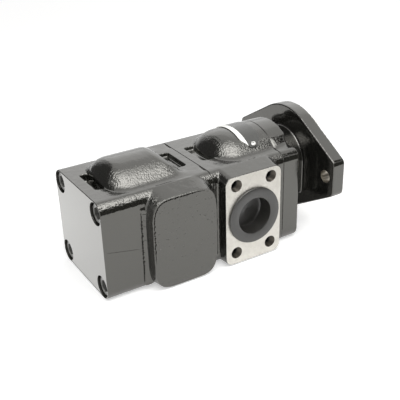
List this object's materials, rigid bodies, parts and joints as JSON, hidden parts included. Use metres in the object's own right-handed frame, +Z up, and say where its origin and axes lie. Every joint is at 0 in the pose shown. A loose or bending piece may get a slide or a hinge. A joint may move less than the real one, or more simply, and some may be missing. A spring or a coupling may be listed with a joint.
{
  "type": "hydraulic gear pump",
  "caption": "Tandem hydraulic gear pump with a two-bolt flange, splined shaft, one common side inlet with its plug, and two outlets.",
  "frame": {"origin": "centre of the mounting flange's front face, on the drive shaft's axis", "axes": "+X along the drive shaft towards its driven end, +Z up, -Y towards the inlet"},
  "size_m": [0.3113, 0.172, 0.1358],
  "materials": {
    "black_paint": "gloss",
    "gear_steel": "ground",
    "block_aluminium": "satin",
    "bush_bronze": "satin",
    "seal_rubber": "matte",
    "seal_case": "satin",
    "ring_steel": "satin",
    "plug_plastic": "matte",
    "plate_aluminium": "satin",
    "rivet_aluminium": "polished"
  },
  "bodies": {
    "housing": {"rear_housing": "black_paint", "front_housing": "black_paint", "mounting_cover": "black_paint", "tie_bolts": "black_paint", "dowel_pins": "gear_steel", "rear_bearing_block_back": "block_aluminium", "rear_bearing_block_front": "block_aluminium", "front_bearing_block_back": "block_aluminium", "front_bearing_block_front": "block_aluminium", "rear_journal_bushes": "bush_bronze", "front_journal_bushes": "bush_bronze", "rear_block_seals": "seal_rubber", "front_block_seals": "seal_rubber", "rear_housing_seal": "seal_rubber", "front_housing_seal": "seal_rubber", "passage_seal": "seal_rubber", "outer_shaft_seal": "seal_case", "inner_shaft_seal": "seal_case", "seal_snap_ring": "ring_steel", "nameplate": "plate_aluminium", "nameplate_rivets": "rivet_aluminium"},
    "drive_line": {"drive_gear_shaft": "gear_steel", "coupling_shaft": "gear_steel", "rear_drive_gear": "gear_steel"},
    "front_idler": {"front_idler_gear": "gear_steel"},
    "rear_idler": {"rear_idler_gear": "gear_steel"},
    "plug": {"inlet_plug": "plug_plastic"}
  },
  "joints": [
    {"name": "drive_spin", "type": "hinge", "parent": "housing", "child": "drive_line", "pos_m": [0, 0, 0], "axis": [1, 0, 0], "continuous": true},
    {"name": "front_idler_spin", "type": "hinge", "parent": "housing", "child": "front_idler", "pos_m": [-0.1019, 0, -0.038], "axis": [1, 0, 0], "continuous": true},
    {"name": "rear_idler_spin", "type": "hinge", "parent": "housing", "child": "rear_idler", "pos_m": [-0.1872, 0, -0.038], "axis": [1, 0, 0], "continuous": true},
    {"name": "plug_pull", "type": "slide", "parent": "housing", "child": "plug", "axis": [0, -1, 0], "range_m": [0, 0.019]}
  ],
  "couplings": [
    {"joint": "front_idler_spin", "follows": "drive_spin", "ratio": -1},
    {"joint": "rear_idler_spin", "follows": "drive_spin", "ratio": -1}
  ]
}
